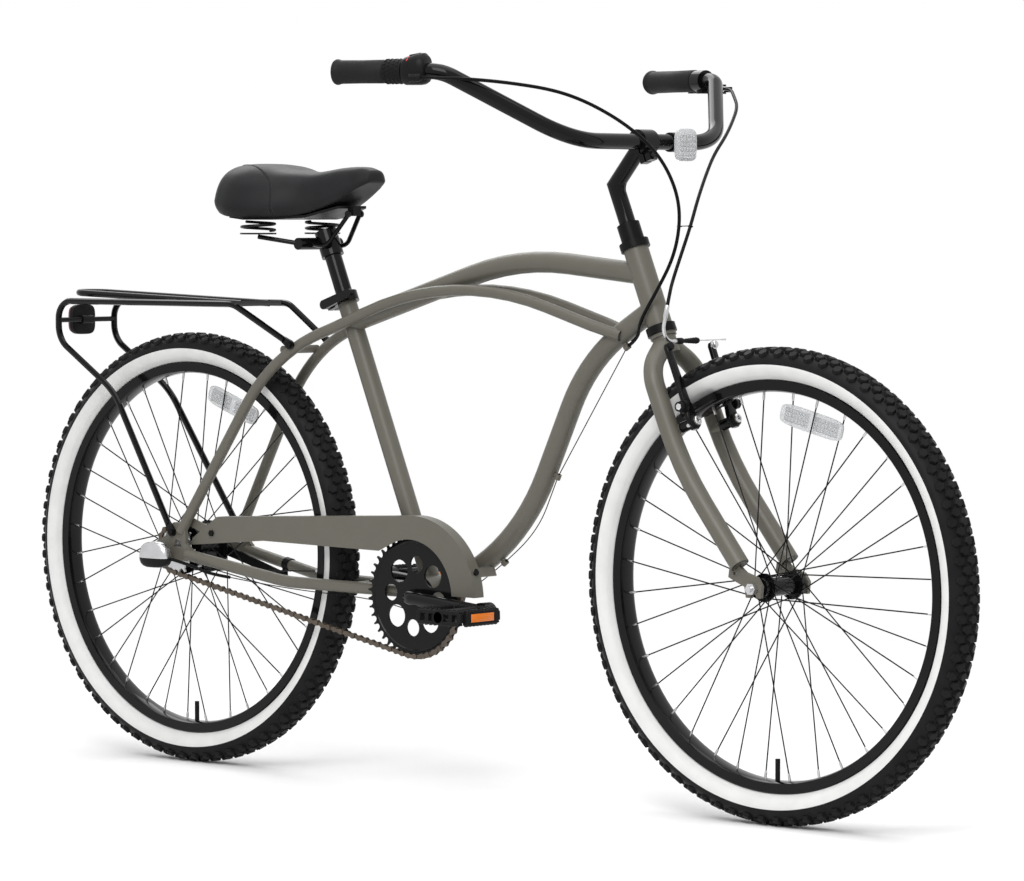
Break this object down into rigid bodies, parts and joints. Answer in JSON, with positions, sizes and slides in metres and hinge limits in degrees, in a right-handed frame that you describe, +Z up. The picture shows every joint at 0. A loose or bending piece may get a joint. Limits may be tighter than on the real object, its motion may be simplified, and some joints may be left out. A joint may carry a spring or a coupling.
{
  "type": "beach cruiser bicycle",
  "caption": "Cruiser bicycle with a curved twin-tube frame, balloon tyres, sprung saddle, swept handlebar, chain guard, rear rack, front rim brake and geared coaster hub.",
  "frame": {"origin": "on the ground, midway between the axles and midway across the overall width", "axes": "+X forward, +Y to the rider's left, +Z up"},
  "size_m": [1.7994, 0.7714, 1.0705],
  "materials": {
    "frame_paint": "matte warm olive grey paint",
    "black_metal": "gloss black",
    "black_plastic": "moulded black",
    "black_rubber": "soft black",
    "tyre_rubber": "black with white side bands",
    "saddle_skin": "smooth black vinyl with stitched seams",
    "cable_skin": "black cable housing",
    "bare_steel": "plain steel",
    "bronze_steel": "brown bronze plated",
    "clear_lens": "clear prismatic"
  },
  "bodies": {
    "frame": {"head_tube": "frame_paint", "top_tube": "frame_paint", "down_tube": "frame_paint", "seat_tube": "frame_paint", "stay_tubes": "frame_paint", "chainstays": "frame_paint", "bottom_bracket_shell": "frame_paint", "rear_dropouts": "frame_paint", "bearing_cups": "black_metal", "chain_guard": "frame_paint", "small_fixings": "black_metal", "rack": "black_metal", "rear_reflector": "black_plastic", "seat_collar": "black_metal", "shift_cable_rear": "cable_skin", "rear_axle": "bare_steel", "gear_click_box": "bare_steel", "coaster_arm": "black_metal", "chain": "bronze_steel"},
    "steering": {"shift_cable_front": "cable_skin", "fork_steerer": "frame_paint", "fork_legs": "frame_paint", "front_axle": "bare_steel", "stem": "black_metal", "headset_locknut": "black_metal", "handlebar": "black_metal", "grips": "black_rubber", "shifter_body": "black_plastic", "brake_lever_bracket": "black_metal", "front_reflector": "clear_lens", "brake_cable": "cable_skin"},
    "shifter_twist": {"shifter_twist": "black_rubber"},
    "brake_lever": {"brake_lever": "black_metal"},
    "brake_right": {"brake_arm_right": "black_metal", "brake_pad_right": "black_rubber"},
    "brake_left": {"brake_arm_left": "black_metal", "brake_pad_left": "black_rubber"},
    "front_wheel": {"front_tyre": "tyre_rubber", "front_inner_tube": "black_rubber", "front_rim": "black_metal", "front_spokes": "black_metal", "front_hub_shell": "black_metal", "front_wheel_reflector": "clear_lens"},
    "rear_wheel": {"rear_tyre": "tyre_rubber", "rear_inner_tube": "black_rubber", "rear_rim": "black_metal", "rear_spokes": "black_metal", "rear_hub_shell": "black_metal", "rear_wheel_reflector": "clear_lens"},
    "sprocket": {"rear_sprocket": "bare_steel"},
    "crank": {"crank": "black_metal", "chainring": "black_metal"},
    "pedal_right": {"pedal_right": "black_plastic"},
    "pedal_left": {"pedal_left": "black_plastic"},
    "seat_post": {"seat_post": "black_metal", "saddle_rails": "black_metal", "saddle_springs": "black_metal"},
    "saddle": {"saddle_cover": "saddle_skin", "saddle_base": "black_plastic"},
    "seat_clamp_lever": {"seat_clamp_lever": "black_metal"}
  },
  "joints": [
    {"name": "steering_turn", "type": "hinge", "parent": "frame", "child": "steering", "pos_m": [0.51255, -0.02197, 0.30925], "axis": [-0.3811, 0, 0.9245], "range_deg": [-45, 45], "deforming": ["shift_cable_front"]},
    {"name": "front_wheel_spin", "type": "hinge", "parent": "steering", "child": "front_wheel", "pos_m": [0.56775, -0.02197, 0.332], "axis": [0, 1, 0], "continuous": true},
    {"name": "rear_wheel_spin", "type": "hinge", "parent": "frame", "child": "rear_wheel", "pos_m": [-0.56775, -0.02197, 0.332], "axis": [0, 1, 0], "continuous": true},
    {"name": "crank_spin", "type": "hinge", "parent": "frame", "child": "crank", "pos_m": [-0.07075, -0.02197, 0.286], "axis": [0, 1, 0], "continuous": true, "deforming": ["chain"]},
    {"name": "sprocket_spin", "type": "hinge", "parent": "frame", "child": "sprocket", "pos_m": [-0.56775, -0.02197, 0.332], "axis": [0, 1, 0], "continuous": true},
    {"name": "pedal_right_spin", "type": "hinge", "parent": "crank", "child": "pedal_right", "pos_m": [0.09374, -0.15197, 0.27305], "axis": [0, 1, 0], "continuous": true},
    {"name": "pedal_left_spin", "type": "hinge", "parent": "crank", "child": "pedal_left", "pos_m": [-0.23524, 0.10803, 0.29895], "axis": [0, 1, 0], "continuous": true},
    {"name": "brake_lever_pull", "type": "hinge", "parent": "steering", "child": "brake_lever", "pos_m": [0.19, 0.32212, 1.0312], "axis": [0, 0, 1], "range_deg": [0, 18], "stiffness_Nm_per_rad": 2, "deforming": ["brake_cable"]},
    {"name": "brake_right_close", "type": "hinge", "parent": "steering", "child": "brake_right", "pos_m": [0.41652, -0.06697, 0.54224], "axis": [-0.9245, 0, -0.3811], "range_deg": [0, 2.5]},
    {"name": "brake_left_close", "type": "hinge", "parent": "steering", "child": "brake_left", "pos_m": [0.41652, 0.02303, 0.54224], "axis": [0.9245, 0, 0.3811], "range_deg": [0, 2.5]},
    {"name": "shifter_turn", "type": "hinge", "parent": "steering", "child": "shifter_twist", "pos_m": [0.04988, -0.36997, 1.0436], "axis": [0.9626, 0.2709, -0.003], "range_deg": [-20, 20]},
    {"name": "seat_post_slide", "type": "slide", "parent": "frame", "child": "seat_post", "axis": [-0.3827, 0, 0.9239], "range_m": [-0.02, 0.05]},
    {"name": "saddle_flex", "type": "hinge", "parent": "seat_post", "child": "saddle", "pos_m": [-0.23275, -0.02197, 0.846], "axis": [0, -1, 0], "range_deg": [0, 4], "stiffness_Nm_per_rad": 900, "deforming": ["saddle_springs"]},
    {"name": "seat_clamp_open", "type": "hinge", "parent": "frame", "child": "seat_clamp_lever", "pos_m": [-0.27259, -0.02197, 0.71058], "axis": [0, -1, 0], "range_deg": [0, 90]}
  ],
  "couplings": [
    {"joint": "sprocket_spin", "follows": "crank_spin", "ratio": 2.4444},
    {"joint": "brake_right_close", "follows": "brake_lever_pull", "ratio": 0.13889},
    {"joint": "brake_left_close", "follows": "brake_lever_pull", "ratio": 0.13889}
  ]
}
